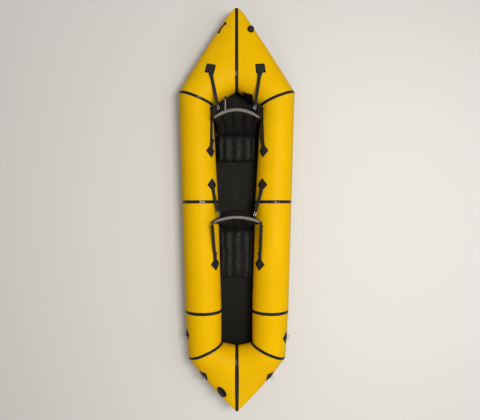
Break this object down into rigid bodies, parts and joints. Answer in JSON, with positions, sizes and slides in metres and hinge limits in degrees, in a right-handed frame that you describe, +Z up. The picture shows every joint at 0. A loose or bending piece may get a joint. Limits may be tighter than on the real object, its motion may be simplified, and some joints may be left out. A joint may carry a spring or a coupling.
{
  "type": "packraft",
  "caption": "Long inflated packraft with pointed ends, a flat floor, inflated seats with strapped backrests, a screw valve, a grab handle and swinging D-rings.",
  "frame": {"origin": "underside of the floor, midway along and across the hull", "axes": "+Y to the stern, +X to starboard as seen from above with the stern up, +Z up"},
  "size_m": [0.9846, 3.3526, 0.3517],
  "materials": {
    "coated_fabric": "satin coated nylon, yellow",
    "seam_tape": "satin black welded tape",
    "floor_fabric": "matt black coated fabric",
    "seat_fabric": "matt black woven nylon",
    "band_fabric": "grey woven binding",
    "webbing": "black woven webbing",
    "moulded_plastic": "black, fine grain",
    "clear_tube": "pale translucent tube",
    "ring_metal": "bright steel wire"
  },
  "bodies": {
    "hull": {"aft_front_left_anchor": "webbing", "aft_front_left_strap": "webbing", "aft_front_right_anchor": "webbing", "aft_front_right_strap": "webbing", "aft_rear_left_anchor": "webbing", "aft_rear_left_strap": "webbing", "aft_rear_right_anchor": "webbing", "aft_rear_right_strap": "webbing", "aft_seat_pad": "seat_fabric", "aft_tube_left": "coated_fabric", "aft_tube_right": "coated_fabric", "bow_centre_tape": "seam_tape", "bow_corner_tape_left": "seam_tape", "bow_corner_tape_right": "seam_tape", "bow_grab_handle": "webbing", "bow_panel_left": "coated_fabric", "bow_panel_right": "coated_fabric", "bow_ring_left_patch": "webbing", "bow_ring_right_patch": "webbing", "floor_sheet": "floor_fabric", "fore_front_left_anchor": "webbing", "fore_front_left_strap": "webbing", "fore_front_right_anchor": "webbing", "fore_front_right_strap": "webbing", "fore_rear_left_anchor": "webbing", "fore_rear_left_strap": "webbing", "fore_rear_right_anchor": "webbing", "fore_rear_right_strap": "webbing", "fore_ring_left_patch": "webbing", "fore_ring_right_patch": "webbing", "fore_seat_pad": "seat_fabric", "fore_tape_left": "seam_tape", "fore_tape_right": "seam_tape", "fore_tube_left": "coated_fabric", "fore_tube_right": "coated_fabric", "mid_tape_left": "seam_tape", "mid_tape_right": "seam_tape", "mid_tube_left": "coated_fabric", "mid_tube_right": "coated_fabric", "stern_centre_tape": "seam_tape", "stern_corner_tape_left": "seam_tape", "stern_corner_tape_right": "seam_tape", "stern_flap": "webbing", "stern_grab_strap": "webbing", "stern_panel_left": "coated_fabric", "stern_panel_right": "coated_fabric", "valve_base": "moulded_plastic"},
    "aft_back": {"aft_backrest": "seat_fabric", "aft_back_band": "band_fabric", "aft_oral_tube": "clear_tube"},
    "fore_back": {"fore_backrest": "seat_fabric", "fore_back_band": "band_fabric", "fore_oral_tube": "clear_tube"},
    "aft_mouth": {"aft_mouthpiece": "moulded_plastic"},
    "fore_mouth": {"fore_mouthpiece": "moulded_plastic"},
    "cap": {"valve_cap": "moulded_plastic"},
    "fore_ring_left_body": {"fore_ring_left": "ring_metal"},
    "fore_ring_right_body": {"fore_ring_right": "ring_metal"},
    "bow_ring_left_body": {"bow_ring_left": "ring_metal"},
    "bow_ring_right_body": {"bow_ring_right": "ring_metal"}
  },
  "joints": [
    {"name": "aft_back_tilt", "type": "hinge", "parent": "hull", "child": "aft_back", "pos_m": [0, 0.667, 0.0265], "axis": [1, 0, 0], "range_deg": [-6, 24], "deforming": ["aft_rear_left_strap", "aft_rear_right_strap", "aft_front_left_strap", "aft_front_right_strap"]},
    {"name": "aft_mouthpiece_twist", "type": "hinge", "parent": "aft_back", "child": "aft_mouth", "pos_m": [-0.095, 0.91323, 0.25523], "axis": [0, 0.6293, 0.7771], "range_deg": [0, 90]},
    {"name": "fore_back_tilt", "type": "hinge", "parent": "hull", "child": "fore_back", "pos_m": [0, -0.155, 0.0265], "axis": [1, 0, 0], "range_deg": [-6, 15], "deforming": ["fore_rear_left_strap", "fore_rear_right_strap", "fore_front_left_strap", "fore_front_right_strap"]},
    {"name": "fore_mouthpiece_twist", "type": "hinge", "parent": "fore_back", "child": "fore_mouth", "pos_m": [-0.03, -0.02726, 0.11862], "axis": [0, 0.5, 0.866], "range_deg": [0, 90]},
    {"name": "valve_cap_turn", "type": "hinge", "parent": "hull", "child": "cap", "pos_m": [0.12096, 1.49189, 0.25129], "axis": [0.3264, 0.2226, 0.9186], "continuous": true},
    {"name": "fore_ring_left_swing", "type": "hinge", "parent": "hull", "child": "fore_ring_left_body", "pos_m": [-0.42221, -1.05354, 0.19892], "axis": [-0.0638, 0.9977, 0.0214], "range_deg": [-38, 95]},
    {"name": "fore_ring_right_swing", "type": "hinge", "parent": "hull", "child": "fore_ring_right_body", "pos_m": [0.41393, -1.07586, 0.21603], "axis": [-0.0627, -0.9978, -0.0235], "range_deg": [-38, 95]},
    {"name": "bow_ring_left_swing", "type": "hinge", "parent": "hull", "child": "bow_ring_left_body", "pos_m": [-0.28181, -1.39116, 0.23593], "axis": [-0.6758, 0.7314, -0.0919], "range_deg": [-38, 95]},
    {"name": "bow_ring_right_swing", "type": "hinge", "parent": "hull", "child": "bow_ring_right_body", "pos_m": [0.28094, -1.39884, 0.22987], "axis": [-0.6754, -0.7297, 0.1069], "range_deg": [-38, 95]}
  ]
}
